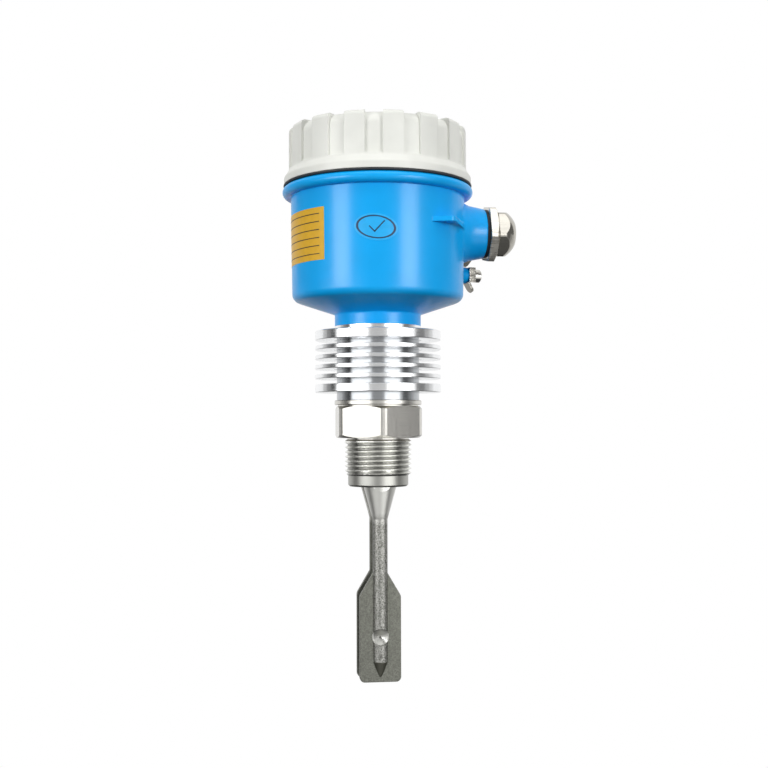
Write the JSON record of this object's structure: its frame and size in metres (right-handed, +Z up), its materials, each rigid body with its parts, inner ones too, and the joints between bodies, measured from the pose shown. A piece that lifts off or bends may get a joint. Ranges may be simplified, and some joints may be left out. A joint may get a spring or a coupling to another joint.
{
  "type": "tuning fork level switch",
  "caption": "Vibrating fork level switch: two flat tines under a threaded hexagon, a finned cooling spacer and a round housing with a fluted screw cover and a cable gland.",
  "frame": {"origin": "on the main axis, at the underside of the hexagon, where the thread begins", "axes": "+Z up along the main axis to the cover, +X along the cable gland, tines at -Y and +Y"},
  "size_m": [0.117, 0.0952, 0.2737],
  "materials": {
    "blue_paint": "gloss enamel on a die casting",
    "white_paint": "semi-gloss off-white enamel",
    "aluminium": "fine turned, bright",
    "stainless": "turned and milled",
    "cast_stainless": "rough investment casting",
    "nickel": "nickel plated brass",
    "rubber": "matt black",
    "alumina": "fired ceramic, matt",
    "piezo": "fired ceramic, silvered faces",
    "foil": "thin sheet",
    "lead_red": "insulated wire",
    "potting": "moulded cup, potted",
    "board_green": "solder resist",
    "grey_plastic": "moulded",
    "red_plastic": "moulded",
    "white_plastic": "moulded",
    "blue_plastic": "moulded",
    "green_lens": "clear tinted",
    "red_lens": "clear tinted"
  },
  "bodies": {
    "switch_body": {"process_nipple": "stainless", "fork": "cast_stainless", "lower_insulator": "alumina", "drive_electrode": "foil", "drive_piezo": "piezo", "common_electrode": "foil", "pickup_piezo": "piezo", "pickup_electrode": "foil", "upper_insulator": "alumina", "pressure_washer": "stainless", "clamp_nut": "stainless", "sensor_leads": "lead_red", "cooling_spacer": "aluminium", "lower_spacer_seal": "rubber", "upper_spacer_seal": "rubber", "housing": "blue_paint", "gland_washer": "rubber", "gland_body": "nickel", "gland_grommet": "rubber", "plug_washer": "rubber", "blanking_plug": "nickel", "ground_saddle": "nickel", "ground_spring_washer": "stainless", "ground_screw": "stainless", "electronics_cup": "potting", "circuit_board": "board_green", "terminal_block": "grey_plastic", "terminal_screws": "nickel", "mode_switch_body": "red_plastic", "delay_trimmer_body": "blue_plastic", "power_led": "green_lens", "switching_led": "red_lens", "module_screws": "nickel", "inner_ground_washer": "nickel", "inner_ground_screw": "stainless"},
    "seal_carrier": {"cover_seal": "rubber"},
    "cover_cap": {"cover": "white_paint"},
    "slip_carrier": {"gland_slip_ring": "grey_plastic"},
    "gland_cap": {"gland_nut": "nickel"},
    "failsafe_slide": {"failsafe_slider": "white_plastic"},
    "density_slide": {"density_slider": "white_plastic"},
    "delay_rotor": {"delay_trimmer_rotor": "white_plastic"}
  },
  "joints": [
    {"name": "cover_lift", "type": "slide", "parent": "switch_body", "child": "seal_carrier", "axis": [0, 0, 1], "range_m": [0, 0.0131]},
    {"name": "cover_turn", "type": "hinge", "parent": "seal_carrier", "child": "cover_cap", "pos_m": [0, 0, 0.131], "axis": [0, 0, 1], "range_deg": [0, 2340]},
    {"name": "gland_advance", "type": "slide", "parent": "switch_body", "child": "slip_carrier", "axis": [1, 0, 0], "range_m": [0, 0.0031]},
    {"name": "gland_turn", "type": "hinge", "parent": "slip_carrier", "child": "gland_cap", "pos_m": [0.066, 0, 0.103], "axis": [1, 0, 0], "range_deg": [0, 720]},
    {"name": "failsafe_select", "type": "slide", "parent": "switch_body", "child": "failsafe_slide", "axis": [0, 1, 0], "range_m": [0, 0.002]},
    {"name": "density_select", "type": "slide", "parent": "switch_body", "child": "density_slide", "axis": [0, 1, 0], "range_m": [0, 0.002]},
    {"name": "delay_set", "type": "hinge", "parent": "switch_body", "child": "delay_rotor", "pos_m": [0.009, -0.012, 0.0926], "axis": [0, 0, 1], "range_deg": [-135, 135]}
  ],
  "couplings": [
    {"joint": "cover_lift", "follows": "cover_turn", "m_per_rad": 0.00031831},
    {"joint": "gland_advance", "follows": "gland_turn", "m_per_rad": 0.00023873}
  ]
}
